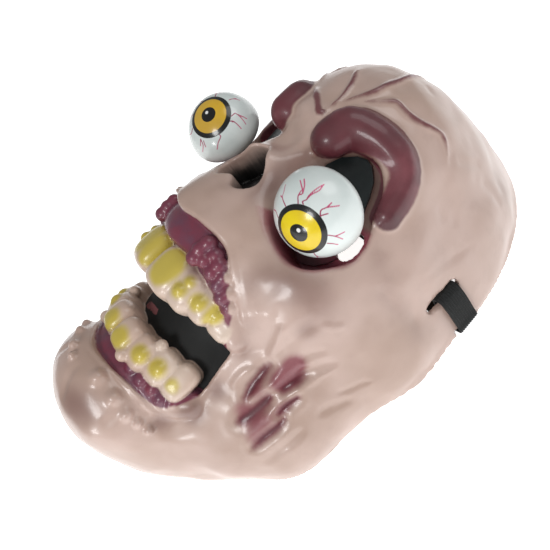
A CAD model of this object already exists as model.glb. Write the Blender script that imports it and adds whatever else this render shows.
from math import atan2, ceil, cos, pi, radians, sin, sqrt

import bpy
import numpy as np
from mathutils import Matrix, Vector


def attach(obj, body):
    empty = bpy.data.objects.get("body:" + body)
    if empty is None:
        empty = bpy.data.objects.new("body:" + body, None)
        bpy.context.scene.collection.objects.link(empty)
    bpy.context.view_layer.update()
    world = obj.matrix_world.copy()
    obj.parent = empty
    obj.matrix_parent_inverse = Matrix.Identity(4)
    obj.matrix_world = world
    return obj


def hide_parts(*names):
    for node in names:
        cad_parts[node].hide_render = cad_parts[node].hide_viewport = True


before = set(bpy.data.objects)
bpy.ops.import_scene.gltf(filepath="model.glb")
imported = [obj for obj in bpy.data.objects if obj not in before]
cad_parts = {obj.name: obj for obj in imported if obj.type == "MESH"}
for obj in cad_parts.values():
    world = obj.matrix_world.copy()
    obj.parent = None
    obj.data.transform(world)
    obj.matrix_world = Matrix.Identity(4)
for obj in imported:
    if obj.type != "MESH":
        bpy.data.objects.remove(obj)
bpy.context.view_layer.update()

# Mask shell: its form
# One thin shell of glossy plastic, drawn down over a mould and trimmed flat along its back edge.
# Skull, brows, sockets, nose, mouth, gums and teeth are all one moulding. Worked in millimetres
# about the bridge of the nose: x to the wearer's left, y to the forehead, z out of the face.
MM = 0.001
SHIFT = np.array([0, -5.34, 0])
WALL = 2.4
MOUTH_DEPTH = 8
SOFT = {"mouth": 2.2, "nose": 1.6, "socket": 2, "plate": 0.8, "gum": 1.2, "tooth": 0.6, "brow": 3}
SOFT_INSIDE = 3
FAR = 50.0
MOUTH_AREA = ((23, -49, 75), 50)
TEETH_AREA = ((22, -48, 72), 46)
NOSE_AREA = ((0, 22, 95), 34)
BROW_AREA = ((36, 63, 78), 40)
MESH_PITCH = 1.0
MOST_TRIANGLES = 190000

SKULL = ((0, 34, -10), (81, 106, 105))
LUMPS = {
    "forehead": ((0, 74, 44), (46, 48, 51), 16),
    "cheekbone": ([(38, 2, 54), (62, 14, 6)], (26, 20), 20),
    "middle": ((0, -8, 38), (44, 46, 66), 14),
    "jaw": ([(6, -92, 18), (48, -44, 6)], (36, 34), 16),
    "cheek": ((40, -16, 6), (38, 40, 44), 14),
    "chin": ((0, -100, 46), (40, 28, 38), 14),
    "mouth": ((0, -50, 10), (56, 60, 66), 18),
    "bridge": ([(0, 58, 84), (0, 34, 92)], (12, 8), 10),
}
HOLLOWS = {
    "bowl": ((33, 42, 100), (22, 24, 24), 6),
    "saddle": ((0, 47, 107), (34, 13, 16), 6),
}

LIPS = [
    (0, -11), (13, -8.5), (27, -8.5), (36, -18.5), (41.5, -27), (42.5, -42),
    (42.5, -58), (41.5, -70), (37.5, -79), (25, -83), (0, -87),
]
NOSE_HOLE = [(0, 16), (6.5, 12), (12, 14.5), (14, 20), (10.5, 27), (5, 34), (0, 36)]
NOSE_DEPTH = 11

SOCKET_CENTRE = (37, 37.5, 68.8)
SOCKET_FACING = (0.35, -0.2, 0.92)
SOCKET_RIM = [
    (1, -26.5), (12, -24), (19.5, -12), (18.5, -1), (13, 9), (7, 21),
    (-3, 27.5), (-15, 23), (-20.5, 11), (-17, -5), (-8.5, -20),
]
SOCKET_FLARE = 0.04
SOCKET_REACH = 30
SOCKET_AREA = (SOCKET_CENTRE, 46)
FLOOR_HOLE = ((-5, 4), (9, 14))
WINDOW = ((13.2, -5.6), (4.4, 7.2))
PLATE_ROOM = 6
PLATE_GAP = 0.3
FLOOR_LEVEL = -0.075
EYE_CUT = 8

UPPER_TEETH = [
    ((10.5, -33.5, 85), (10.5, 12, 10)),
    ((21.5, -33, 80), (7, 10.5, 9.5)),
    ((28.5, -31.5, 74.5), (7.2, 9, 9)),
    ((35.5, -30.5, 65), (7, 8.5, 8.5)),
]
LOWER_TEETH = [
    ((7, -70.5, 71), (7.8, 9, 9.5)),
    ((17, -69.5, 67), (7.2, 8.7, 9)),
    ((26, -67, 62), (7, 9, 8)),
    ((34.2, -65, 55.5), (6.5, 9.5, 7.5)),
]
ARCH_LEAN = 1.2
KNOBS = [
    ((24, -35, 87.3), 3.5), ((24.6, -29.3, 87.2), 2.6), ((31, -32.2, 80.2), 4.4),
    ((36, -30.5, 73), 4.6), ((15, -77, 75), 3.4), ((22.6, -60.2, 69.6), 3),
    ((21.4, -69.3, 72), 4.4), ((29.8, -67.2, 66), 4.4), ((36.6, -66.6, 58.6), 3.4),
]
UPPER_GUM = [(0, -17, 93), (15, -15.5, 89), (27, -18, 81), (35, -24, 71), (41, -31, 60)]
LOWER_GUM = [(0, -82, 68), (14, -81, 65), (26, -78.5, 58), (35, -76, 50), (40, -69, 46)]
GUM_RADIUS = 7
BED_SINK = 3
BED_WIDTH = 12
BED_FROM = 20
MOUTH_MIDDLE = -51
GUM_PEBBLES = [
    (21.2, -20.7, 94.7), (20.9, -16.5, 95.7), (21.4, -12.3, 95.4), (24.4, -18.2, 92.4),
    (26, -13.4, 91.4), (29, -19.2, 88.7), (29.5, -14.9, 89.2), (33.1, -20.9, 84.4),
    (33, -17, 85.5), (36.1, -23.2, 80.6), (36.6, -20, 80.4), (38.8, -24, 76),
    (19, -77.6, 70), (25.3, -77.8, 66), (30.6, -76.4, 61.8), (34.8, -76.7, 58.2), (38.2, -74, 55),
]
PEBBLE_RADIUS = 3.7
PEBBLE_SINK = (0, 0, 1.2)
TOOTH_SQUARENESS = 3.2

BROW = [
    (19, 58, 90.3), (21.2, 66.8, 89.3), (29.8, 71.5, 83.6), (37.2, 72.3, 77),
    (43.8, 69.1, 70.6), (49.2, 60.5, 66.6), (51.8, 51.5, 65.6),
]
BROW_RADII = [9, 9.2, 8.6, 8.2, 7.8, 7, 6]

SLOT_PLACE = (49.5, 25)
SLOT_SIZE = (20, 6)
SLOT_CUT = 20
STRAP_Y = 52.5
STRAP_WIDTH = 12
NOTCH_HEIGHT = 3.2
NOTCH_SPARE = 1.5


def blob(p, centre, radii):
    q = (p - centre) / radii
    near = np.sqrt((q * q).sum(1)) + 1e-9
    q = q / radii
    return near * (near - 1) / (np.sqrt((q * q).sum(1)) + 1e-9)


def chain(p, places, radii):
    """Distance to a row of round-ended rods that run from place to place."""
    places = np.asarray(places, float)
    radii = np.broadcast_to(radii, len(places))
    start, axis = places[:-1], places[1:] - places[:-1]
    long = (axis * axis).sum(1)
    ahead = p @ axis.T - (start * axis).sum(1)
    t = np.clip(ahead / long, 0, 1)
    away = (p * p).sum(1)[:, None] - 2 * (p @ start.T) + (start * start).sum(1)
    away = away - 2 * t * ahead + t * t * long
    return (np.sqrt(np.maximum(away, 0)) - (radii[:-1] + t * (radii[1:] - radii[:-1]))).min(1)


def join(a, b, soft):
    h = np.clip(0.5 + 0.5 * (b - a) / soft, 0, 1)
    return b * (1 - h) + a * h - soft * h * (1 - h)


def cut(a, b, soft):
    return -join(-a, b, soft)


def both_sides(p):
    return np.column_stack([np.abs(p[:, 0]), p[:, 1], p[:, 2]])


def box_of(p):
    return p.min(0), p.max(0)


def reached(box, centre, reach):
    """Whether any part of a batch of points, given by its box, can lie within reach of a place."""
    low, high = box
    return all(low[i] - reach < centre[i] < high[i] + reach for i in range(3))


def skin(p):
    """The skull and what is modelled onto it, with a bowl round each eye and a saddle between."""
    m = both_sides(p)
    d = blob(m, *SKULL)
    for places, radii, soft in LUMPS.values():
        d = join(d, (chain if len(radii) == 2 else blob)(m, places, radii), soft)
    for places, radii, soft in HOLLOWS.values():
        d = cut(d, blob(m, places, radii), soft)
    return d


def smooth_path(places, steps, closed=False):
    """Points along a Catmull-Rom curve through the places."""
    places = np.array(places, float)
    if closed:
        padded = np.vstack([places[-1], places, places[:2]])
    else:
        padded = np.vstack([2 * places[0] - places[1], places, 2 * places[-1] - places[-2]])
    points = []
    for a, b, c, d in zip(padded, padded[1:], padded[2:], padded[3:]):
        for t in np.arange(steps) / steps:
            points.append(0.5 * (2 * b + (c - a) * t + (2 * a - 5 * b + 4 * c - d) * t ** 2
                                 + (3 * b - a - 3 * c + d) * t ** 3))
    if not closed:
        points.append(places[-1])
    return np.array(points)


def outline_map(outline, margin=24, pitch=0.75):
    """A look-up of the distance to a closed flat outline, negative inside it."""
    edge = np.roll(outline, -1, axis=0) - outline
    low = outline.min(0) - margin
    count = np.ceil((outline.max(0) + margin - low) / pitch).astype(int) + 1
    x, y = np.meshgrid(*[low[i] + pitch * np.arange(count[i]) for i in (0, 1)], indexing="ij")
    away = np.full(x.shape, 1e9)
    inside = np.zeros(x.shape, bool)
    for (ax, ay), (ex, ey) in zip(outline, edge):
        qx, qy = x - ax, y - ay
        t = np.clip((qx * ex + qy * ey) / (ex * ex + ey * ey), 0, 1)
        away = np.minimum(away, np.hypot(qx - t * ex, qy - t * ey))
        straddles = (qy < 0) != (qy - ey < 0)
        inside ^= straddles & (qx < qy * ex / (ey if abs(ey) > 1e-12 else 1e-12))
    table = np.where(inside, -away, away)

    def look_up(p):
        u = np.clip((p[:, 0] - low[0]) / pitch, 0, count[0] - 1.001)
        v = np.clip((p[:, 1] - low[1]) / pitch, 0, count[1] - 1.001)
        i, j = u.astype(int), v.astype(int)
        u, v = u - i, v - j
        return (table[i, j] * (1 - u) * (1 - v) + table[i + 1, j] * u * (1 - v)
                + table[i, j + 1] * (1 - u) * v + table[i + 1, j + 1] * u * v)

    return look_up


def hole_at(half):
    """The look-up for a hole whose other half mirrors the one given."""
    other_half = [(-x, y) for x, y in half[-2:0:-1]]
    return outline_map(smooth_path(half + other_half, 5, closed=True))


mouth_at = hole_at(LIPS)
nose_at = hole_at(NOSE_HOLE)


def unit(vector):
    return np.array(vector, float) / np.linalg.norm(vector)


def axes_about(facing):
    facing = unit(facing)
    side = unit(np.cross((0, 1, 0), facing))
    return side, np.cross(facing, side), facing


def socket_frame(p):
    """Distances across, up and out of the nearer socket."""
    return [(both_sides(p) - SOCKET_CENTRE) @ axis for axis in socket_axes]


socket_axes = axes_about(SOCKET_FACING)
rim_at = outline_map(smooth_path(SOCKET_RIM, 5, closed=True), 40)


def socket_at(across, up, out):
    """Distance to the socket's wall, which flares open towards the nose."""
    flare = 1 + SOCKET_FLARE * np.clip(out, 0, SOCKET_REACH)
    return rim_at(np.column_stack([np.where(across < 0, across / flare, across), up]))


def oval_at(across, up, oval):
    (x, y), (wide, high) = oval
    return (np.hypot((across - x) / wide, (up - y) / high) - 1) * min(wide, high)


def tooth(p, centre, radii):
    lean = radians(centre[0] * ARCH_LEAN)
    q = p - centre
    x = q[:, 0] * cos(lean) - q[:, 2] * sin(lean)
    z = q[:, 0] * sin(lean) + q[:, 2] * cos(lean)
    scaled = np.abs(np.column_stack([x, q[:, 1], z]) / radii)
    size = (scaled ** TOOTH_SQUARENESS).sum(1) ** (1 / TOOTH_SQUARENESS)
    return (size - 1) * min(radii)


gum_paths = []
for gum in (UPPER_GUM, LOWER_GUM):
    right = [(-x, y, z) for x, y, z in gum[:0:-1]]
    gum_paths.append(smooth_path(right + gum, 3))
brow_path = smooth_path(BROW, 3)
brow_radii = np.interp(np.linspace(0, len(BROW) - 1, len(brow_path)), range(len(BROW)), BROW_RADII)


def teeth_and_gums(p, base):
    """Distances to the nearest tooth and to the nearest gum."""
    m = both_sides(p)
    box = box_of(m)
    teeth = gums = np.full(len(p), FAR)
    if not reached(box, *TEETH_AREA):
        return teeth, gums
    for centre, radii in UPPER_TEETH + LOWER_TEETH:
        if reached(box, centre, max(radii) + 6):
            teeth = join(teeth, tooth(m, centre, radii), 0.9)
    for centre, radius in KNOBS:
        if reached(box, centre, radius + 6):
            teeth = join(teeth, blob(m, centre, [radius] * 3), 0.7)
    for path in gum_paths:
        gums = np.minimum(gums, chain(p, path, GUM_RADIUS))
    mouth = mouth_at(p)
    between_rows = BED_FROM - np.abs(p[:, 1] - MOUTH_MIDDLE)
    bed = np.max([base + BED_SINK, -BED_WIDTH - mouth, mouth, between_rows], axis=0)
    gums = join(gums, bed, 3)
    for centre in GUM_PEBBLES:
        if reached(box, centre, PEBBLE_RADIUS + 6):
            away = np.linalg.norm(m - centre + PEBBLE_SINK, axis=1)
            gums = join(gums, away - PEBBLE_RADIUS, 0.8)
    return teeth, gums


def brow(p):
    m = both_sides(p)
    if not reached(box_of(m), *BROW_AREA):
        return np.full(len(p), FAR)
    return chain(m, brow_path, brow_radii) - 0.5 * value_noise(p, 9, 5)


# Mask shell: relief
# Veins, torn slits, creases and bumps of the modelling, all within the thickness of the wall.
# Each is a path of places on the skin, its half width, and its height or depth. Bumps are round.
VEINS = [
    ([(-13.9, 74.2, 94.2), (1.4, 66.7, 97.8), (7.8, 62.9, 97.3), (8.9, 65.4, 96.7)], 2.2, 1.6),
    ([(8.6, 64.7, 96.8), (8.4, 73.1, 95.6), (5.3, 82.3, 94.6), (0.2, 88.6, 93),
      (-4, 94.4, 90.3)], 1.5, 1.4),
    ([(8.5, 70, 95.7), (13.4, 78.2, 93.7), (16.7, 85.4, 90.8), (16, 93.9, 87.5),
      (14.1, 101.8, 83.1), (9, 111.3, 75.6), (4, 118, 66)], 1.7, 1.5),
    ([(16, 77.8, 92.9), (22.1, 84.5, 88.5), (25, 88.2, 85.4), (29.7, 88.6, 81.8),
      (34.5, 90.2, 76.5), (37.5, 93, 71.3), (39.7, 94.3, 67.4), (43.8, 92.1, 63.2),
      (48.3, 87.4, 59.9)], 1.6, 1.5),
    ([(-16, 77.8, 92.9), (-23, 85, 88), (-30, 89, 81.8), (-36, 96, 73), (-46, 98, 60)], 1.6, 1.5),
    ([(-23, 85, 88), (-22, 95, 84), (-26, 104, 75)], 1.4, 1.3),
]
SLITS = [
    ([(57, -49.7, 42.2), (56.2, -40.7, 45.3), (56.2, -33, 47.8), (57.3, -26.6, 49.7)], 2.9, 1.2),
    ([(59.7, -59.3, 37.8), (61.2, -53, 38), (62.6, -43.6, 39.1), (63.1, -36, 40.7)], 3.3, 1.2),
    ([(64.3, -33.2, 40.4), (66.1, -25.4, 41.2), (67.9, -17.9, 42)], 2.8, 1.2),
    ([(68.9, -42, 34.1), (68.8, -34.4, 35.6), (70.3, -26.6, 35.8)], 2.2, 1.2),
    ([(68.7, -62.8, 26.3), (70.1, -54.4, 29.7), (71.2, -45, 31.4), (71.2, -37.5, 32.5)], 2.3, 1.2),
]
SLIT_LIP = 0.2
GROOVE_LIP = 0.1
GROOVE_SHARE = 0.65
DEEPEST = 1.4
CUT_SPREAD = 1.15
TAPER = 1.3
RIM_FADE = 4
SKIN_FADE = 6
VEIN_PAINT = 0.7
SLIT_PAINT = 0.75
GROOVES = [
    ([(66.1, -25.4, 41.2), (67.9, -17.9, 42), (70.6, -10.6, 41.5), (73, -5.2, 39.5)], 1.9, 1.3),
    ([(72.7, -64.5, 17.4), (76.2, -53, 22.7), (77, -43.7, 24.3), (76.7, -36.5, 25.1)], 1.9, 1.3),
    ([(76.6, -27.3, 25.5), (77.4, -21.4, 24.1), (78.6, -15.5, 21.2), (79.2, -12.3, 19.4)],
     1.9, 1.2),
    ([(76.4, -15.3, 27.3), (77.8, -9.5, 24.8), (78.9, -4.3, 23.8), (80.4, 0.9, 21.5)], 1.4, 1),
    ([(53.7, -28.4, 52.4), (55, -20.5, 60.3), (56.6, -12.9, 67.9), (55.8, -8, 72.2)], 3.2, 1),
    ([(58, -22.2, 52.6), (61.6, -13.2, 57.8), (64.6, -4.7, 59.8), (65.7, -0.5, 59.6)], 2.6, 1.1),
    ([(65.3, -16.4, 47), (66.7, -12, 48.2), (70.1, -4.8, 46.4)], 1.5, 0.9),
    ([(70.7, 47.1, 39.6), (70.3, 53.1, 38.5), (70.3, 59.4, 35.8), (69.1, 67.5, 33.5),
      (67.9, 76.3, 29)], 2, 0.7),
    ([(61.5, 70.3, 48.2), (57.5, 72.9, 53.7)], 1.8, 0.5),
    ([(64.3, 72.8, 41.1), (58.8, 79.3, 47)], 1.8, 0.5),
    ([(67.4, 28.9, 51.5), (71.6, 29.8, 42.9), (75.4, 31.1, 33.3), (78.4, 32.7, 24.3)], 3.4, 1.3),
    ([(71.6, 36.2, 40.4), (74.3, 35, 34.3), (77.1, 33.2, 27.8)], 2.4, 0.8),
    ([(47.7, 92.2, 56.6), (47.8, 97.9, 49.8), (46.6, 104.4, 42.3)], 2, 0.8),
    ([(51.7, 98.9, 40.1), (54.5, 100.5, 31.2), (57.5, 100.7, 23.2)], 2.4, 0.8),
    ([(2.4, -88.9, 80.9), (14.7, -86.7, 76.8), (25.2, -85.8, 69.9), (31.6, -86.3, 63.4),
      (36.9, -85.4, 55.7)], 1.7, 1),
    ([(37.1, -88.3, 55.9), (41.2, -85.2, 49.1), (44.6, -77.2, 47.1), (46.8, -65.7, 48.6),
      (46.3, -54.7, 51.5)], 4, 1.4),
    ([(7.3, -94.6, 82.6), (9, -100.1, 83), (11.7, -106.7, 81.2), (14, -112.6, 77.2)], 1.6, 0.9),
    ([(33.2, -102, 67.1), (33.4, -96.2, 66.3)], 1.8, 0.9),
    ([(10.7, 44.7, 96.2), (18.2, 49.8, 92.8), (25.8, 50.6, 89.7)], 2.4, 1.2),
    ([(2, 55, 99.5), (9, 54.5, 97.5), (14, 57, 95)], 1.8, 0.8),
    ([(17, 110, 73.5), (22, 107, 73)], 1.8, 0.6),
]
RIDGES = [
    ([(58.6, -47.6, 41.4), (59.2, -39.1, 43.2), (61.7, -29.1, 44.2)], 1.7, 0.7),
    ([(64.6, -52.9, 35.1), (66.5, -40.5, 36.6), (68.2, -28.4, 37.9), (70.1, -19.5, 38.1),
      (73.5, -8, 37.5)], 1.6, 0.8),
    ([(55.4, -26.9, 51.6), (57.5, -19, 58.2), (58.9, -10.8, 66.5)], 1.9, 0.9),
    ([(66.8, 0.8, 57.7), (68.6, 3.6, 54.4), (70.1, 7.1, 51.8)], 2, 0.7),
    ([(-6, -89, 80.6), (5.3, -86.3, 79.1), (16.8, -84.5, 74.6), (26.9, -83.8, 67.3),
      (33, -84.1, 60.5), (37.2, -83.2, 54.9), (41.5, -79, 49.5)], 2, 0.9),
    ([(50.6, -48.5, 48.5), (50.9, -40.8, 50.1), (52.9, -34.6, 50.2)], 2.2, 0.7),
    ([(28, -6, 91), (38, -15, 82), (45.5, -24, 69), (47.5, -36, 57)], 2.4, 0.8),
]
BUMPS = [
    ((18, -90.9, 77.6), 3.5), ((28, -90.9, 70.4), 3.4), ((34.3, -92, 62.9), 2.9),
    ((37.2, -91.8, 57.1), 2.2), ((39.9, -91.2, 51), 2.2), ((-5.4, -93.9, 83.3), 2.4),
    ((1.3, -95.9, 83.9), 2), ((-17, -91.5, 78), 2.4), ((-29, -92, 69.5), 2.6),
    ((-37, -91, 57), 2), ((-8.4, -13, 99.4), 2.6), ((-14.5, -9, 98), 2.8), ((-20, -7, 94), 2.4),
]
BUMP_HEIGHT = 2.5
UNEVENNESS = ((26, 1.5), (12, 0.55), (6.5, 0.16))


def value_noise(p, size, seed):
    """Soft lumps of about one size, from -1 to 1, the same at every run."""
    q = p / size + 7.31 * seed
    cell = np.floor(q).astype(np.int64)
    t = q - cell
    t = t * t * t * (t * (6 * t - 15) + 10)
    total = np.zeros(len(p))
    for corner in np.ndindex(2, 2, 2):
        key, share = 0, 1.0
        for axis, mixer in enumerate((73856093, 19349663, 83492791)):
            key = key ^ ((cell[:, axis] + corner[axis]) * mixer)
            share = share * (t[:, axis] if corner[axis] else 1 - t[:, axis])
        key = ((key ^ (key >> 13) ^ seed) * 1274126177) & 0x7FFFFFFF
        key = (key ^ (key >> 15)) & 0xFFFF
        total += share * (key / 32767.5 - 1)
    return total


def span(path, reach):
    """The middle of a path, and how far from it the path and what surrounds it reach."""
    centre = (path.min(0) + path.max(0)) / 2
    return centre, float(np.abs(path - centre).max()) + reach


def in_batches(field, points, cell=18.0):
    """A field's values, worked out for one small neighbourhood at a time."""
    key = np.floor(points / cell).astype(int)
    order = np.lexsort((key[:, 2], key[:, 1], key[:, 0]))
    block = key[order]
    breaks = np.flatnonzero(np.any(block[1:] != block[:-1], axis=1)) + 1
    values = np.empty(len(points))
    for batch in np.split(order, breaks):
        values[batch] = field(points[batch])
    return values


def slope(field, points, reach=0.3):
    gradient = np.empty_like(points)
    for axis in range(3):
        step = np.zeros(3)
        step[axis] = reach
        gradient[:, axis] = in_batches(field, points + step) - in_batches(field, points - step)
    return gradient / (2 * reach)


def settle(field, points, most):
    """Moves points onto the field's zero surface, each by no more than a set distance."""
    gradient = slope(field, points)
    steep = np.maximum((gradient * gradient).sum(1), 0.25)
    move = -(in_batches(field, points) / steep)[:, None] * gradient
    length = np.linalg.norm(move, axis=1)
    return points + move * np.minimum(1, most / np.maximum(length, 1e-9))[:, None]


def laid(places):
    """A smooth path through the places, laid onto the skin."""
    path = smooth_path(places, 3)
    for _ in range(3):
        path = settle(skin, path, FAR)
    return path


def beside(p, path, width, base):
    """How far beside a path each place lies along the skin. The path tapers at its ends."""
    along = np.abs(np.linspace(-1, 1, len(path)))
    away = chain(p, path, width * (1 - TAPER * along ** 5)) + width
    return np.sqrt(np.maximum(away * away - base * base, 0))


vein_paths = [(laid(places), VEIN_PAINT * width) for places, width, _ in VEINS]
slit_paths = [(laid(places), SLIT_PAINT * width) for places, width, _ in SLITS]
relief_paths = []
for rows, wider, higher, both, lip in (
    (VEINS, 1, 1, False, 0), (SLITS, CUT_SPREAD, -1, True, SLIT_LIP),
    (GROOVES, CUT_SPREAD, -GROOVE_SHARE, True, GROOVE_LIP), (RIDGES, 1, 1, True, 0),
):
    relief_paths += [(laid(places), wider * width, higher * height, both, lip)
                     for places, width, height in rows]
bump_places = [(centre, skin(np.array([centre]))[0], radius) for centre, radius in BUMPS]
relief_spans = [span(path, 4 * width) for path, width, *_ in relief_paths]


def relief(p, base):
    """How far the modelling stands out of the smooth skin or sinks into it. It fades at the rim."""
    fade = np.clip(p[:, 2] / RIM_FADE, 0, 1) * np.clip(2 - np.abs(base) / SKIN_FADE, 0, 1)
    if not fade.any():
        return fade
    m = both_sides(p)
    box, mirror_box = box_of(p), box_of(m)
    lift = np.zeros(len(p))
    for (path, width, height, mirrored, lip), (centre, reach) in zip(relief_paths, relief_spans):
        if reached(mirror_box if mirrored else box, centre, reach):
            d = beside(m if mirrored else p, path, width, base) / width
            lift += height * np.exp(-d * d)
            if lip:
                lift -= height * lip * np.exp(-((d - 2) / 0.7) ** 2)
    lift = np.maximum(lift, -DEEPEST)
    for centre, height, radius in bump_places:
        if reached(box, centre, 3 * radius):
            q = p - centre
            away = np.maximum((q * q).sum(1) - (base - height) ** 2, 0)
            lift += BUMP_HEIGHT * np.exp(-(away / radius ** 2) ** 1.5)
    for i, (size, height) in enumerate(UNEVENNESS):
        lift += height * value_noise(p, size, i + 1)
    return lift * fade


def recessed(d, p, base, wall, mouth_edge, nose_edge):
    """Sinks the mouth and the nose hole, with a wall's thickness round each from inside."""
    box = box_of(both_sides(p))
    for area, outline_at, depth, edge in (
        (MOUTH_AREA, mouth_at, MOUTH_DEPTH, mouth_edge), (NOSE_AREA, nose_at, NOSE_DEPTH, nose_edge)
    ):
        if reached(box, *area):
            d = cut(d, np.maximum(outline_at(p) - wall, -(base + depth + wall)), edge)
    return d


def face(p, base, lift):
    """The outside of the moulding."""
    box = box_of(both_sides(p))
    d = recessed(base - lift, p, base, 0, SOFT["mouth"], SOFT["nose"])
    in_socket = reached(box, *SOCKET_AREA)
    if in_socket:
        across, up, out = socket_frame(p)
        wall = socket_at(across, up, out)
        floor = FLOOR_LEVEL - out
        d = cut(d, np.maximum(wall, floor), SOFT["socket"])
    teeth, gums = teeth_and_gums(p, base)
    for part, name in ((gums, "gum"), (teeth, "tooth"), (brow(p), "brow")):
        d = join(d, part, SOFT[name])
    if in_socket:
        room = np.max([wall - PLATE_GAP, floor, out - PLATE_ROOM], axis=0)
        d = cut(d, room, SOFT["plate"])
    return d


def hollow(p, base, lift):
    """The inside of the moulding, which leaves a wall behind all that is sunk into the face."""
    d = recessed(base + WALL - np.minimum(lift, 0), p, base, WALL, SOFT_INSIDE, SOFT_INSIDE)
    if reached(box_of(both_sides(p)), *SOCKET_AREA):
        across, up, out = socket_frame(p)
        wall = np.maximum(socket_at(across, up, out) - WALL, -out - WALL)
        d = cut(d, wall, SOFT["socket"])
    return d


def skin_reach(y, z):
    """How far out from the middle the skin lies at one height."""
    inner, outer = 20.0, 120.0
    for _ in range(30):
        middle = (inner + outer) / 2
        if skin(np.array([[middle, y, z]]))[0] > 0:
            outer = middle
        else:
            inner = middle
    return inner


rim_turn = atan2(skin_reach(STRAP_Y - 8, 12) - skin_reach(STRAP_Y + 8, 12), 16)
slot_centre = np.array([skin_reach(*SLOT_PLACE), *SLOT_PLACE])
notch_centre = np.array([skin_reach(STRAP_Y, 0), STRAP_Y, 0])


def rim_frame(q):
    """Distances along the rim at the temple, out through the wall there, and upward."""
    x, y, z = q.T
    return y * cos(rim_turn) - x * sin(rim_turn), x * cos(rim_turn) + y * sin(rim_turn), z


def through_holes(p):
    """Eye holes, strap slots and rim notches, which go right through."""
    m = both_sides(p)
    box = box_of(m)
    d = np.full(len(p), FAR)
    if reached(box, *SOCKET_AREA):
        across, up, out = socket_frame(p)
        for oval in (FLOOR_HOLE, WINDOW):
            d = np.minimum(d, np.maximum(oval_at(across, up, oval), np.abs(out + 2) - EYE_CUT))
    if reached(box, slot_centre, 40):
        along, outward, z = rim_frame(m - slot_centre)
        straight = (SLOT_SIZE[0] - SLOT_SIZE[1]) / 2
        stadium = np.hypot(np.maximum(np.abs(along) - straight, 0), z) - SLOT_SIZE[1] / 2
        d = np.minimum(d, np.maximum(stadium, np.abs(outward) - SLOT_CUT))
        along, _, z = rim_frame(m - notch_centre)
        notch = np.maximum(np.abs(along) - STRAP_WIDTH / 2 - NOTCH_SPARE, z - NOTCH_HEIGHT)
        d = np.minimum(d, notch)
    return d


def shell(p):
    base = skin(p)
    lift = relief(p, base)
    body = np.maximum(face(p, base, lift), -hollow(p, base, lift))
    return np.maximum(np.maximum(body, -through_holes(p)), -p[:, 2])


def lattice_near(field, low, count, pitch):
    """The lattice points close to the surface, found by halving blocks, and the field there."""
    size = 8
    grid = size * np.argwhere(np.ones([ceil(n / size) for n in count]))
    while True:
        centre = low + (grid + size / 2) * pitch
        half_diagonal = 0.87 * size * pitch
        grid = grid[np.abs(in_batches(field, centre)) < 1.25 * half_diagonal + 0.5]
        if size == 2:
            break
        size //= 2
        halves = size * np.array(list(np.ndindex(2, 2, 2)))
        grid = (grid[:, None] + halves).reshape(-1, 3)
    wanted = np.zeros(count, bool)
    for offset in np.ndindex(3, 3, 3):
        corner = np.minimum(grid + offset, np.array(count) - 1)
        wanted[tuple(corner.T)] = True
    values = np.full(count, np.nan)
    index = np.argwhere(wanted)
    values[wanted] = in_batches(field, low + index * pitch)
    return values


def surface_net(field, low, high, pitch):
    """A closed quad mesh of the field's zero surface: one point in each cell that it crosses."""
    count = tuple(np.ceil((high - low) / pitch).astype(int) + 1)
    values = lattice_near(field, low, count, pitch)
    corners = list(np.ndindex(2, 2, 2))
    cells = tuple(n - 1 for n in count)
    stack = [values[tuple(slice(i, i + n) for i, n in zip(c, cells))] for c in corners]
    known = ~np.isnan(sum(stack))
    negative = sum((s < 0).astype(int) for s in stack)
    mixed = known & (negative > 0) & (negative < 8)
    cell = np.argwhere(mixed)
    value = np.stack([s[mixed] for s in stack], 1)
    total = np.zeros((len(cell), 3))
    crossings = np.zeros(len(cell))
    for a, b in [(a, b) for a in range(8) for b in range(a + 1, 8) if a ^ b in (1, 2, 4)]:
        step = np.array(corners[b]) - corners[a]
        cross = (value[:, a] < 0) != (value[:, b] < 0)
        share = value[cross, a] / (value[cross, a] - value[cross, b])
        total[cross] += corners[a] + share[:, None] * step
        crossings[cross] += 1
    points = low + (cell + total / crossings[:, None]) * pitch
    number = np.full(cells, -1)
    number[mixed] = np.arange(len(cell))
    faces = []
    for axis in range(3):
        u, v = (axis + 1) % 3, (axis + 2) % 3
        here, ahead = [
            values[tuple(part if k == axis else slice(1, -1) for k in range(3))]
            for part in (slice(0, -1), slice(1, None))
        ]
        crossed = ~np.isnan(here + ahead) & ((here < 0) != (ahead < 0))
        place = np.argwhere(crossed) + [0 if k == axis else 1 for k in range(3)]
        quad = []
        for du, dv in ((1, 1), (0, 1), (0, 0), (1, 0)):
            at = place.copy()
            at[:, u] -= du
            at[:, v] -= dv
            quad.append(number[tuple(at.T)])
        quad = np.stack(quad, 1)
        outside_first = here[crossed] >= 0
        quad[outside_first] = quad[outside_first, ::-1]
        faces.append(quad)
    faces = np.vstack(faces)
    return points, faces[(faces >= 0).all(1)]


box_low, box_high = np.array([-92, -136, -2.5]), np.array([92, 146, 112])
points, faces = surface_net(shell, box_low, box_high, MESH_PITCH)
points = settle(shell, points, 0.5 * MESH_PITCH)
points[points[:, 2] < 0.45 * MESH_PITCH, 2] = 0


def put(name, data):
    """A new object in the scene."""
    thing = bpy.data.objects.new(name, data)
    bpy.context.scene.collection.objects.link(thing)
    return thing


def piece_of(name, points, faces, edges=()):
    """A new piece in the scene, from points in millimetres."""
    mesh = bpy.data.meshes.new(name)
    mesh.from_pydata(((points + SHIFT) * MM).tolist(), edges, faces)
    return put(name, mesh)


def work_out(piece):
    """Turns the piece's modifiers into plain mesh."""
    evaluated = piece.evaluated_get(bpy.context.evaluated_depsgraph_get())
    piece.data = bpy.data.meshes.new_from_object(evaluated)
    piece.data.name = piece.name
    piece.modifiers.clear()


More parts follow.
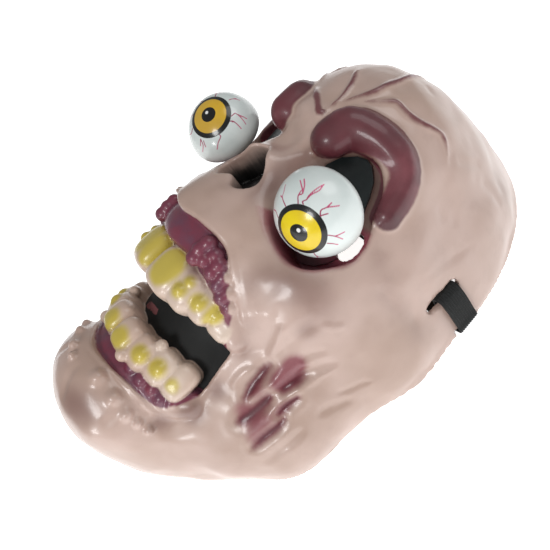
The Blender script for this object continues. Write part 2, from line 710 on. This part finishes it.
def smooth_shaded(mesh):
    mesh.polygons.foreach_set("use_smooth", [True] * len(mesh.polygons))


def store(mesh, layers):
    """Keeps one number a point under each name, for the paint to read."""
    for name, values in layers.items():
        layer = mesh.attributes.new(name, "FLOAT", "POINT")
        layer.data.foreach_set("value", np.asarray(values, np.float32))


mask_skin = piece_of("mask_shell_skin", points, faces.tolist())
triangles = 2 * len(faces)
if triangles > MOST_TRIANGLES:
    mask_skin.modifiers.new("thin", "DECIMATE").ratio = MOST_TRIANGLES / triangles
    work_out(mask_skin)
shell_mesh = mask_skin.data
smooth_shaded(shell_mesh)

# Mask shell: paint
# Airbrushed over the skin colour: maroon brows, sockets, veins and wounds, purple gums, yellowed
# ivory teeth and a green-black mouth. Each layer's edge is a distance in millimetres.
YELLOW_PATCHES = [
    ((-2.2, -33.4, 93), (9, 10, 5)), ((14.4, -31.5, 94.4), (8.5, 11, 4.6)),
    ((-15, -32, 94), (7, 8, 5)), ((24.7, -34.8, 89.5), (4, 4, 4)),
    ((25.2, -29.1, 89), (3.2, 3.2, 3.4)), ((32.7, -32.2, 83), (4.4, 4.4, 4)),
    ((37.2, -30.8, 76.4), (5, 6.4, 4)), ((-5.5, -73.5, 79), (6, 6.4, 6)),
    ((9.5, -73, 79.5), (6, 5.6, 5)), ((22.4, -69.6, 75), (4.6, 4.6, 5)),
    ((31, -67.2, 69.2), (4.6, 4.6, 5)), ((38.4, -67.4, 62), (3, 3.2, 4)),
]
SHADES = [
    (19.3, 15.2, 93.6, 7, 0.5), (18.8, 23.9, 92.4, 7, 0.7), (16.1, 31.3, 93, 7, 0.7),
    (17.9, 41.3, 92.6, 8, 0.8), (17, 48, 93.5, 6, 0.8), (7, 11.1, 98.9, 6, 0.3),
    (47.6, -33, 56.4, 6, 0.4), (47, -21.9, 68.7, 7, 0.4), (40.7, -13.1, 80.4, 7, 0.4),
    (46.1, -70.6, 47.8, 7, 1.1), (47.9, -54.7, 49.9, 6, 0.9), (40.4, -85.1, 50.4, 6, 0.9),
    (21.3, -111, 74.5, 10, 0.5), (27.2, -101.8, 73.7, 9, 0.5), (17.5, -106.2, 79.1, 8, 0.4),
    (64, -7.5, 59, 6, 0.5), (62, 7.6, 68, 10, 0.35), (55.2, 0.8, 75.6, 9, 0.4),
    (45.2, -4.7, 80.9, 9, 0.3), (68.8, 29.5, 48.7, 7, 0.25), (73.5, 31.1, 38.2, 7, 0.35),
    (78.9, 31.2, 23.8, 8, 0.3), (60.7, 37.1, 59.9, 6, 0.3), (57.6, 88.8, 40.5, 10, 0.35),
    (54.8, 42.6, 66.9, 5, 0.3), (9.7, 88.5, 91.9, 8, 0.2), (20, 82, 88, 6, 0.3),
    (51.1, 109, 23.6, 12, 0.3), (70, 59.3, 36.6, 6, 0.25), (66, -48, 30, 9, 0.35),
    (67, 4.4, 58, 15, 0.4), (47.6, -33.4, 59.6, 10, 0.3), (63.7, 34.1, 56.1, 15, 0.3),
    (63, 66, 47.9, 15, 0.3), (50.8, 0.1, 78.8, 11, 0.35), (57, 11.6, 73.6, 9, 0.25),
]
STAINS = [
    (62.3, -29.9, 43.3, 5, 1.1), (64.2, -23.3, 44.7, 5.6, 1.2), (63.5, -18.5, 47, 4.8, 0.9),
    (58.4, -51.1, 40.3, 5.4, 0.75), (66.8, -45.5, 35.7, 6.6, 0.6), (65, -53, 34, 6.8, 0.6),
    (58, -40, 44.5, 4.8, 0.75), (68, -36, 35.5, 4.4, 0.55), (67.5, -57, 29.5, 4.4, 0.4),
]

BOTH_SIDES_FROM = 10
MOUTH_PATCH = [(-13.4, -58.1, 65.1), (-5.9, -56.6, 67.3), (-0.5, -55.6, 68)]
MOUTH_PATCH_WIDTH = 3.6

places = np.empty(3 * len(shell_mesh.vertices))
shell_mesh.vertices.foreach_get("co", places)
points = places.reshape(-1, 3) / MM - SHIFT
mirrored = both_sides(points)
base = in_batches(skin, points)
lift = in_batches(lambda p: relief(p, skin(p)), points)
inside = hollow(points, base, lift) < 0.25
mouth = mouth_at(points)
across, up, out = socket_frame(points)
socket_wall = socket_at(across, up, out)


def spots(places):
    """Soft round spots, added up: each a centre, a radius and a strength."""
    total = np.zeros(len(points))
    for *centre, radius, strength in places:
        q = mirrored - centre
        total += strength * np.exp(-(q * q).sum(1) / radius ** 2)
    return total


def along_paths(paths, p):
    return np.min([beside(p, path, width, base) - width for path, width in paths], axis=0)


teeth, gums = [in_batches(lambda p: teeth_and_gums(p, skin(p))[k], points) for k in (0, 1)]
yellow = np.min([blob(points if centre[0] < BOTH_SIDES_FROM else mirrored, centre, radii)
                 for centre, radii in YELLOW_PATCHES], axis=0)
store(shell_mesh, {
    "vein": along_paths(vein_paths, points),
    "brow": in_batches(brow, points) - 0.9,
    "tray": np.maximum(socket_wall - 1.2, np.maximum(-out - 4, out - 12)),
    "socket": np.max([socket_wall - 1, up - 4, up - 0.9 * across + 1, -out - 4, out - 24], axis=0),
    "nose": np.maximum(nose_at(points) - 2.5, base + 2.2),
    "deep nose": np.maximum(nose_at(points) - 2.5, base + 6),
    "mouth patch": chain(points, MOUTH_PATCH, MOUTH_PATCH_WIDTH / 2),
    "wound": along_paths(slit_paths, mirrored),
    "gum": np.maximum(gums - 0.3, mouth - 0.4),
    "black": np.maximum(mouth + 0.6, base + 4),
    "tooth": teeth - 0.3,
    "yellow": yellow,
    "shade": spots(SHADES),
    "stain": spots(STAINS),
    "inside": inside,
})


def seen(colour):
    """A colour given as it is seen on a screen, 0 to 255, for a shader."""
    shares = [part / 255 for part in colour]
    return (*[c / 12.92 if c <= 0.04045 else ((c + 0.055) / 1.055) ** 2.4 for c in shares], 1)


def fill(tree, sockets, values):
    for name, value in values.items():
        if isinstance(value, bpy.types.NodeSocket):
            tree.links.new(value, sockets[name])
        else:
            sockets[name].default_value = seen(value) if isinstance(value, tuple) else value


def add_node(tree, kind, inputs, output=0, **settings):
    """Adds a node, fills or links its inputs and hands back one of its outputs."""
    node = tree.nodes.new(kind)
    for name, value in settings.items():
        setattr(node, name, value)
    fill(tree, node.inputs, inputs)
    return node.outputs[output]


def repaint(names, paint):
    """Gives pieces that stay as they are in the source their material."""
    for name in names:
        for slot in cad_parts[name].material_slots:
            slot.material = paint.material


class Paint:
    """A node material with short calls for its layers."""

    def __init__(self, name, **finish):
        self.material = bpy.data.materials.new(name)
        self.material.use_nodes = True
        self.tree = self.material.node_tree
        self.place = add_node(self.tree, "ShaderNodeTexCoord", {}, "Object")
        self.finish({name.replace("_", " ").title(): value for name, value in finish.items()})

    def finish(self, inputs):
        fill(self.tree, self.tree.nodes["Principled BSDF"].inputs, inputs)

    def noise(self, scale, detail=3):
        inputs = {"Vector": self.place, "Scale": scale, "Detail": detail, "Roughness": 0.55}
        return add_node(self.tree, "ShaderNodeTexNoise", inputs, "Fac")

    def layer(self, name):
        return add_node(self.tree, "ShaderNodeAttribute", {}, "Fac", attribute_name=name)

    def combine(self, a, b, operation="ADD"):
        return add_node(self.tree, "ShaderNodeMath", {0: a, 1: b}, operation=operation)

    def spread(self, value, low, high, to_low=0, to_high=1):
        """The value, or a layer by its name, spread softly over a new range."""
        inputs = {"Value": self.layer(value) if isinstance(value, str) else value,
                  "From Min": low, "From Max": high, "To Min": to_low, "To Max": to_high}
        return add_node(self.tree, "ShaderNodeMapRange", inputs, "Result",
                        interpolation_type="SMOOTHSTEP")

    def over(self, share, below, above):
        inputs = {"Factor": share, "A": below, "B": above}
        return add_node(self.tree, "ShaderNodeMix", inputs, "Result", data_type="RGBA")

    def mottled(self, noise, low, high, first, second):
        return self.over(self.spread(noise, low, high), first, second)

    def bump(self, height, distance):
        inputs = {"Distance": distance, "Height": height}
        self.finish({"Normal": add_node(self.tree, "ShaderNodeBump", inputs, "Normal")})


skin_paint = Paint("painted_plastic", coat_roughness=0.17)
spread, over, mottled = skin_paint.spread, skin_paint.over, skin_paint.mottled
layer, combine = skin_paint.layer, skin_paint.combine
broad = skin_paint.noise(22)
fine = skin_paint.noise(110, 5)
ragged = spread(fine, 0.2, 0.8, -0.5, 0.5)
maroon = mottled(broad, 0.35, 0.6, (76, 28, 36), (106, 48, 56))
maroon = over(spread(skin_paint.noise(45, 4), 0.52, 0.72, 0, 0.6), maroon, (136, 74, 82))
gum_colour = mottled(fine, 0.35, 0.7, (120, 48, 68), (104, 58, 78))
COATS = [
    # name, softness of its edge, colour, how far its edge is moved in, how ragged it is
    ("vein", 0.9, (116, 66, 68), 0, 1),
    ("tray", 2.2, (140, 108, 98), 0, 1),
    ("socket", 1.8, (146, 66, 80), 0, 1),
    ("nose", 1.8, (66, 59, 56), 0, 1),
    ("deep nose", 3, (30, 29, 29), 0, 1),
    ("brow", 0.5, maroon, 0, 0.3),
    ("wound", 1.8, (104, 14, 36), -0.2, 1),
    ("wound", 1.1, (78, 8, 26), 1.2, 1),
    ("black", 0.8, (6, 9, 9), 0, 1),
    ("mouth patch", 0.3, (128, 74, 77), 0, 1),
    ("gum", 0.5, gum_colour, -0.6, 1),
]
colour = mottled(broad, 0.35, 0.68, (199, 173, 162), (183, 156, 142))
colour = over(spread(fine, 0.5, 0.85, 0, 0.3), colour, (168, 142, 130))
shade_share = combine(layer("shade"), spread(broad, 0.3, 0.7, -0.1, 0.15))
colour = over(spread(shade_share, 0.05, 1.1, 0, 0.85), colour, (128, 98, 90))
colour = over(spread("stain", 0.1, 1, 0, 0.9), colour, (134, 66, 78))
for name, soft, shade, edge, torn in COATS:
    gap = combine(layer(name), combine(ragged, torn, "MULTIPLY"))
    share = spread(combine(gap, edge), -soft, soft, 1, 0)
    colour = over(share, colour, shade)
ivory = mottled(broad, 0.35, 0.65, (216, 196, 180), (206, 180, 164))
yellowed = combine(layer("yellow"), ragged)
ivory = over(spread(yellowed, -2, 2, 0.9, 0), ivory, (198, 178, 52))
colour = over(spread("tooth", -0.35, 0.35, 1, 0), colour, ivory)
colour = over(layer("inside"), colour, (158, 138, 126))
dull = spread("black", -0.8, 0.8, 1, 0)
for name in ("gum", "tooth"):
    dull = combine(dull, spread(name, -0.5, 0.5), "MULTIPLY")
roughness = spread(dull, 0, 1, 0.36, 0.7)
for name, outer, rougher in (("brow", 0.5, 0.16), ("gum", 0.5, 0.1), ("wound", 1, 0.15)):
    roughness = combine(roughness, spread(name, -0.5, outer, rougher, 0))
skin_paint.finish({
    "Base Color": colour, "Roughness": roughness, "Coat Weight": spread(dull, 0, 1, 0.4, 0),
})
skin_paint.bump(skin_paint.noise(420, 2), 0.00005)
shell_mesh.materials.append(skin_paint.material)

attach(mask_skin, "root")
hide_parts("mask_shell")

# Eye plates
# Two flat green-black plastic plates, each on the floor of its socket. Each is notched at its
# outer lower edge, where the wearer looks through, and its lower end has caught the maroon paint.
OVERSPRAY_TO = 25
OVERSPRAY_EDGE = 3
plate_paint = Paint("plate_plastic", roughness=0.38)
grain = plate_paint.noise(160, 4)
bare = plate_paint.mottled(grain, 0.35, 0.7, (34, 42, 43), (42, 50, 50))
plate_up = add_node(plate_paint.tree, "ShaderNodeSeparateXYZ", {0: plate_paint.place}, "Y")
bottom, top = (OVERSPRAY_TO - OVERSPRAY_EDGE) * MM, OVERSPRAY_TO * MM
sprayed = plate_paint.spread(plate_up, bottom, top, 1, 0)
plate_paint.finish({"Base Color": plate_paint.over(sprayed, bare, (92, 40, 50))})
plate_paint.bump(grain, 0.00003)
repaint(("left_eye_plate", "right_eye_plate"), plate_paint)

# Eye springs
# A short coil of bare steel wire behind each eyeball carries it and lets it wobble.
wire_paint = Paint("spring_wire", roughness=0.3, metallic=1)
wire = wire_paint.mottled(wire_paint.noise(600, 2), 0.3, 0.7, (150, 150, 150), (178, 178, 176))
wire_paint.finish({"Base Color": wire})
repaint(("left_eye_spring", "right_eye_spring"), wire_paint)

# Eyeballs
# Hollow glossy plastic balls, round in front and flatter behind, with a yellow iris in a black
# ring and forked red veins printed on them. The left one stares down and out, the right one up.
EYE_RADIUS = 19
BACK_DOME = 0.65
PUPIL = 11.5
IRIS = 27.3
RING = 34.5
GLINT = 2.6
LEFT_VEINS = [
    [(173, 35), (178, 48), (174, 55), (173, 65)], [(178, 48), (182, 53)],
    [(141, 34), (144, 44), (137, 47), (144, 58), (148, 64)], [(137, 47), (138, 56), (143, 66)],
    [(144, 44), (141, 50)],
    [(130, 35), (133, 38), (127, 41), (126, 46), (119, 59), (115, 66)],
    [(127, 41), (123, 48), (116, 56), (115, 66)],
    [(85, 33), (95, 39), (92, 46), (92, 54)], [(92, 46), (86, 53), (82, 59)], [(88, 35), (83, 43)],
    [(44, 35), (40, 43), (32, 54)], [(40, 43), (44, 55)], [(24, 36), (24, 42), (22, 50)],
    [(-20, 35), (-24, 44), (-18, 55)], [(-24, 44), (-30, 54)],
    [(-66, 35), (-60, 45), (-64, 58)], [(-60, 45), (-54, 54)],
    [(-112, 35), (-116, 46), (-110, 57)], [(-116, 46), (-124, 56)],
    [(-150, 34), (-154, 44), (-148, 54), (-152, 62)],
]
RIGHT_VEINS = [
    [(89, 39), (89, 46), (83, 56)], [(89, 46), (88, 52)],
    [(-73, 38), (-66, 46), (-70, 59)], [(-64, 39), (-60, 48)], [(-73, 38), (-73, 49)],
    [(-17, 34), (-17, 38), (-29, 44), (-37, 53)],
    [(27, 34), (30, 40), (24, 54)], [(30, 40), (28, 38)],
    [(41, 35), (50, 40), (48, 44), (45, 59)], [(48, 44), (35, 59)],
    [(128, 34), (132, 44), (126, 55)], [(132, 44), (140, 54)],
    [(168, 35), (172, 46), (166, 57)], [(-150, 35), (-146, 45), (-152, 56)],
    [(-146, 45), (-140, 54)], [(-112, 35), (-108, 44), (-113, 52)],
]
EYES = {
    # place, way it bulges, way it looks, place of the glint, veins, iris and the iris's edge
    "left_eye": ((43.5, 31, 85.5), (0.42, -0.8, 0.42), (0.53, -0.73, 0.44), (129, 4), LEFT_VEINS,
                 (236, 210, 22), (226, 196, 30)),
    "right_eye": ((-42.2, 31, 92.5), (-0.09, 0, 0.99), (0.4, -0.16, 0.9), (175, 4), RIGHT_VEINS,
                  (224, 180, 42), (206, 166, 60)),
}


def polar_places(places, axes):
    """Points on a unit ball from pairs of turn round the iris and tilt away from it, in degrees."""
    side, top, facing = axes
    turn, tilt = np.radians(np.array(places, float)).T
    return (np.outer(np.sin(tilt) * np.cos(turn), side) + np.outer(np.sin(tilt) * np.sin(turn), top)
            + np.outer(np.cos(tilt), facing))


def eyeball(name, centre, facing, printed, glint, veins):
    rings, spokes = ((150, 240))
    axes = axes_about(printed)
    body_axis = unit(facing)
    tilts = np.linspace(0, 180, rings + 1)[1:-1]
    turns = np.arange(spokes) * 360 / spokes
    places = [(0, 0)] + [(turn, tilt) for tilt in tilts for turn in turns] + [(0, 180)]
    ball = polar_places(places, axes)
    vein_gap = np.full(len(ball), 3.0)
    for path in veins:
        on_ball = polar_places(smooth_path(path, 3), axes)
        vein_gap = np.minimum(vein_gap, chain(ball, on_ball, 0.0) * EYE_RADIUS)
    behind = np.minimum(ball @ body_axis, 0)
    shaped = ball - np.outer(behind * (1 - BACK_DOME), body_axis)
    first_ring = [(1 + k, 1 + (k + 1) % spokes) for k in range(spokes)]
    last_start = (rings - 2) * spokes
    faces = [(s + a, s + a + spokes, s + b + spokes, s + b)
             for s in range(0, last_start, spokes) for a, b in first_ring]
    faces += [(0, a, b) for a, b in first_ring]
    faces += [(len(ball) - 1, last_start + b, last_start + a) for a, b in first_ring]
    eye = piece_of(name + "ball_printed", shaped * EYE_RADIUS + centre, faces)
    tilt, glint_tilt = [np.degrees(np.arccos(np.clip(ball @ towards, -1, 1)))
                        for towards in (axes[2], polar_places([glint], axes)[0])]
    store(eye.data, {"vein": vein_gap, "tilt": tilt, "glint": glint_tilt})
    smooth_shaded(eye.data)
    return eye


def printed_eye(name, iris_shade, iris_edge):
    paint = Paint(name + "_print", roughness=0.24, coat_weight=0.3)
    specks = paint.noise(60, 3)
    colour = paint.mottled(specks, 0.35, 0.7, (224, 232, 230), (214, 224, 222))
    red = paint.mottled("tilt", 34, 58, (150, 34, 78), (206, 70, 120))
    iris = paint.mottled(specks, 0.35, 0.65, iris_shade, iris_edge)
    for layer, edge, soft, shade in (
        ("vein", 0.26, 0.16, red), ("tilt", RING, 0.4, (18, 20, 20)), ("tilt", IRIS, 0.4, iris),
        ("tilt", PUPIL, 0.4, (14, 15, 15)), ("glint", GLINT, 0.5, (240, 240, 240)),
    ):
        share = paint.spread(layer, edge - soft, edge + soft, 1, 0)
        colour = paint.over(share, colour, shade)
    paint.finish({"Base Color": colour})
    paint.bump(paint.noise(300, 2), 0.00002)
    return paint.material


for name, (*form, iris_shade, iris_edge) in EYES.items():
    eye = eyeball(name, *form)
    eye.data.materials.append(printed_eye(name, iris_shade, iris_edge))
    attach(eye, "root")
    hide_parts(name + "ball")

# Head strap
# Flat black elastic webbing, finely ribbed along its length. Each end is looped through a slot and
# round the rim, sewn back on itself, and the slack run between them lies behind the face.
STRAP_THICKNESS = 1.2
STRAP_FLOOR = 1.0
STRAP_GAP = 0.3
STRAP_SLACK = 18
SLACK_FROM = 8
RUN_HALF = 60
RIB_PITCH = 1.25
RIB_DEPTH = 0.2

strap_edge = skin_reach(STRAP_Y, 2)
outer_side = STRAP_THICKNESS / 2 + 3 * STRAP_GAP
inner_side = -WALL - STRAP_THICKNESS / 2 - 6 * STRAP_GAP
tail = STRAP_FLOOR + STRAP_THICKNESS + 2 * STRAP_GAP
strap_loop = [(-22, tail), (-12, tail)]
for skin_z, aside, z in (
    (8, inner_side - 1.5, 6), (14, inner_side, 13), (20, inner_side, 20),
    (25, inner_side + 1, 24.6), (26, -WALL / 2, 26), (25, outer_side - 0.6, 24.8),
    (20, outer_side, 20), (13, outer_side, 13), (7, outer_side, 7),
):
    leaning = (skin_reach(STRAP_Y, skin_z) - strap_edge) * cos(rim_turn)
    strap_loop.append((leaning + aside, z))
strap_loop += [(outer_side + 0.3, 3.6), (outer_side - 0.4, 1.7)]
strap_loop += [(along, STRAP_FLOOR) for along in (-1.6, -8, -24, -40, -56, -72)]
strap_places = []
for along, z in strap_loop:
    share = min(max((-along - SLACK_FROM) / (strap_edge - SLACK_FROM), 0), 1)
    bow = STRAP_SLACK * share * share * (3 - 2 * share)
    x = strap_edge + along * cos(rim_turn)
    strap_places.append((x, STRAP_Y + along * sin(rim_turn) + bow, z))
strap_places += [(-x, y, z) for x, y, z in strap_places[::-1]]


def even_path(places, steps):
    """A Catmull-Rom curve that doesn't overshoot where its places are unevenly spaced."""
    places = np.array(places, float)
    padded = np.vstack([2 * places[0] - places[1], places, 2 * places[-1] - places[-2]])
    route, heading = [], []
    for i in range(len(padded) - 3):
        a, b, c, d = padded[i:i + 4]
        before, here, after = [sqrt(np.linalg.norm(leg)) for leg in (b - a, c - b, d - c)]
        leave = ((b - a) / before - (c - a) / (before + here) + (c - b) / here) * here
        arrive = ((c - b) / here - (d - b) / (here + after) + (d - c) / after) * here
        last = i == len(padded) - 4
        for k in range(steps + last):
            t = k / steps
            square, cube = 3 * (c - b) - 2 * leave - arrive, 2 * (b - c) + leave + arrive
            route.append(b + t * leave + t ** 2 * square + t ** 3 * cube)
            heading.append(leave + 2 * t * square + 3 * t ** 2 * cube)
    return np.array(route), np.array(heading)


strap_route, strap_heading = even_path(strap_places, 7)
ahead_x, ahead_y, _ = strap_heading.T
turn = np.where(np.abs(strap_route[:, 0]) < RUN_HALF,
                np.arctan2(ahead_y * np.sign(ahead_x), np.abs(ahead_x)),
                rim_turn * np.sign(strap_route[:, 0]))
strap_across = np.column_stack([-np.sin(turn), np.cos(turn), np.zeros(len(turn))])
links_along = [(i, i + 1) for i in range(len(strap_route) - 1)]
webbing = piece_of("head_strap_webbing", strap_route, [], links_along)
across = webbing.data.attributes.new("across", "FLOAT_VECTOR", "POINT")
across.data.foreach_set("vector", strap_across.ravel().astype(np.float32))

strap_paint = Paint("strap_webbing", roughness=0.8)
woven = strap_paint.noise(900)
black = strap_paint.mottled(woven, 0.35, 0.7, (10, 12, 12), (24, 26, 27))
strap_paint.finish({"Base Color": black})
strap_paint.bump(woven, 0.0001)

weave = bpy.data.node_groups.new("ribbed_webbing", "GeometryNodeTree")
sizes = {
    "Width": STRAP_WIDTH, "Thickness": STRAP_THICKNESS - 2 * RIB_DEPTH,
    "Rib pitch": RIB_PITCH, "Rib depth": RIB_DEPTH,
}


def weave_socket(name, way, kind):
    return weave.interface.new_socket(name, in_out=way, socket_type="NodeSocket" + kind)


def weave_node(kind, inputs, **settings):
    return add_node(weave, "GeometryNode" + kind, inputs, **settings)


def weave_math(operation, *values):
    return add_node(weave, "ShaderNodeMath", dict(enumerate(values)), operation=operation)


weave_socket("Route", "INPUT", "Geometry")
sockets = {name: weave_socket(name, "INPUT", "Float") for name in sizes}
weave_socket("Webbing", "OUTPUT", "Geometry")
given = weave.nodes.new("NodeGroupInput").outputs
section = weave_node("CurvePrimitiveQuadrilateral",
                     {"Width": given["Width"], "Height": given["Thickness"]})
quarter_rib = weave_math("DIVIDE", given["Rib pitch"], 4)
section = weave_node("ResampleCurve", {"Curve": section, "Length": quarter_rib}, mode="LENGTH")
place = weave_node("InputPosition", {})
x, y = [add_node(weave, "ShaderNodeSeparateXYZ", {0: place}, axis) for axis in "XY"]
turns = weave_math("MULTIPLY", weave_math("DIVIDE", x, given["Rib pitch"]), 2 * pi)
wave = weave_math("MULTIPLY", weave_math("COSINE", turns), weave_math("SIGN", y))
rise = add_node(weave, "ShaderNodeCombineXYZ",
                {"Y": weave_math("MULTIPLY", wave, given["Rib depth"])})
ribbed = weave_node("SetPosition", {"Geometry": section, "Offset": rise})
route = weave_node("MeshToCurve", {0: given["Route"]})
width_way = weave_node("InputNamedAttribute", {"Name": "across"}, data_type="FLOAT_VECTOR")
turned = weave_node("SetCurveNormal", {"Curve": route, "Normal": width_way}, mode="FREE")
swept = weave_node("CurveToMesh", {"Curve": turned, "Profile Curve": ribbed, "Fill Caps": True})
realized = weave_node("RealizeInstances", {0: swept})
dyed = weave_node("SetMaterial", {"Geometry": realized, "Material": strap_paint.material})
weave.links.new(dyed, weave.nodes.new("NodeGroupOutput").inputs[0])

sweep = webbing.modifiers.new("sweep", "NODES")
sweep.node_group = weave
for name, size in sizes.items():
    sweep[sockets[name].identifier] = size * MM
work_out(webbing)
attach(webbing, "root")
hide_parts("head_strap")

# Table and studio
# A plain white table top, a soft light beside the camera, a weaker one across from it, a small
# low one for the chin, and the camera where the photograph was taken from.
bpy.ops.mesh.primitive_plane_add(size=6, location=(0, 0, 0))
table = bpy.context.object
table.name = "table_top"
table_paint = Paint("table_top", roughness=0.7, emission_strength=0.85)
white = table_paint.mottled(table_paint.noise(3), 0.3, 0.7, (250, 250, 250), (246, 246, 247))
table_paint.finish({"Base Color": white, "Emission Color": (255, 255, 255)})
table.data.materials.append(table_paint.material)

world = bpy.data.worlds.new("studio")
bpy.context.scene.world = world
world.use_nodes = True
sky = world.node_tree.nodes["Background"].inputs
sky["Color"].default_value = (1, 1, 1, 1)
sky["Strength"].default_value = 0.28
bpy.context.scene.view_settings.view_transform = "Standard"


def soft_light(name, place, target, size, power):
    data = bpy.data.lights.new(name, "AREA")
    data.shape = "DISK"
    data.size = size
    data.energy = power
    light = put(name, data)
    light.location = place
    light.rotation_euler = (Vector(target) - Vector(place)).to_track_quat("-Z", "Y").to_euler()


soft_light("key_light", (0.5, -0.5, 0.7), (0, 0, 0.05), 0.3, 3.4)
soft_light("fill_light", (0.2, 0.65, 0.75), (0, 0, 0.05), 0.6, 2)
soft_light("chin_light", (0.4, -0.8, 0.25), (0, -0.05, 0.03), 0.16, 1.1)

CAMERA_PLACE = np.array([192.33, 0, 224.33])
CAMERA_TARGET = np.array([0, 0, 32])
CAMERA_ROLL = radians(42)
LENS = 32.73
camera_data = bpy.data.cameras.new("camera")
camera_data.lens = LENS
camera_data.sensor_width = 36
camera = put("camera", camera_data)
view = unit(CAMERA_PLACE - CAMERA_TARGET)
right = unit(np.cross((0, 0, 1), view))
upward = np.cross(view, right)
turned_right = cos(CAMERA_ROLL) * right - sin(CAMERA_ROLL) * upward
turned_up = sin(CAMERA_ROLL) * right + cos(CAMERA_ROLL) * upward
matrix = np.eye(4)
matrix[:3, :3] = np.column_stack([turned_right, turned_up, view])
matrix[:3, 3] = (CAMERA_PLACE + SHIFT) * MM
camera.matrix_world = Matrix(matrix.tolist())
bpy.context.scene.camera = camera
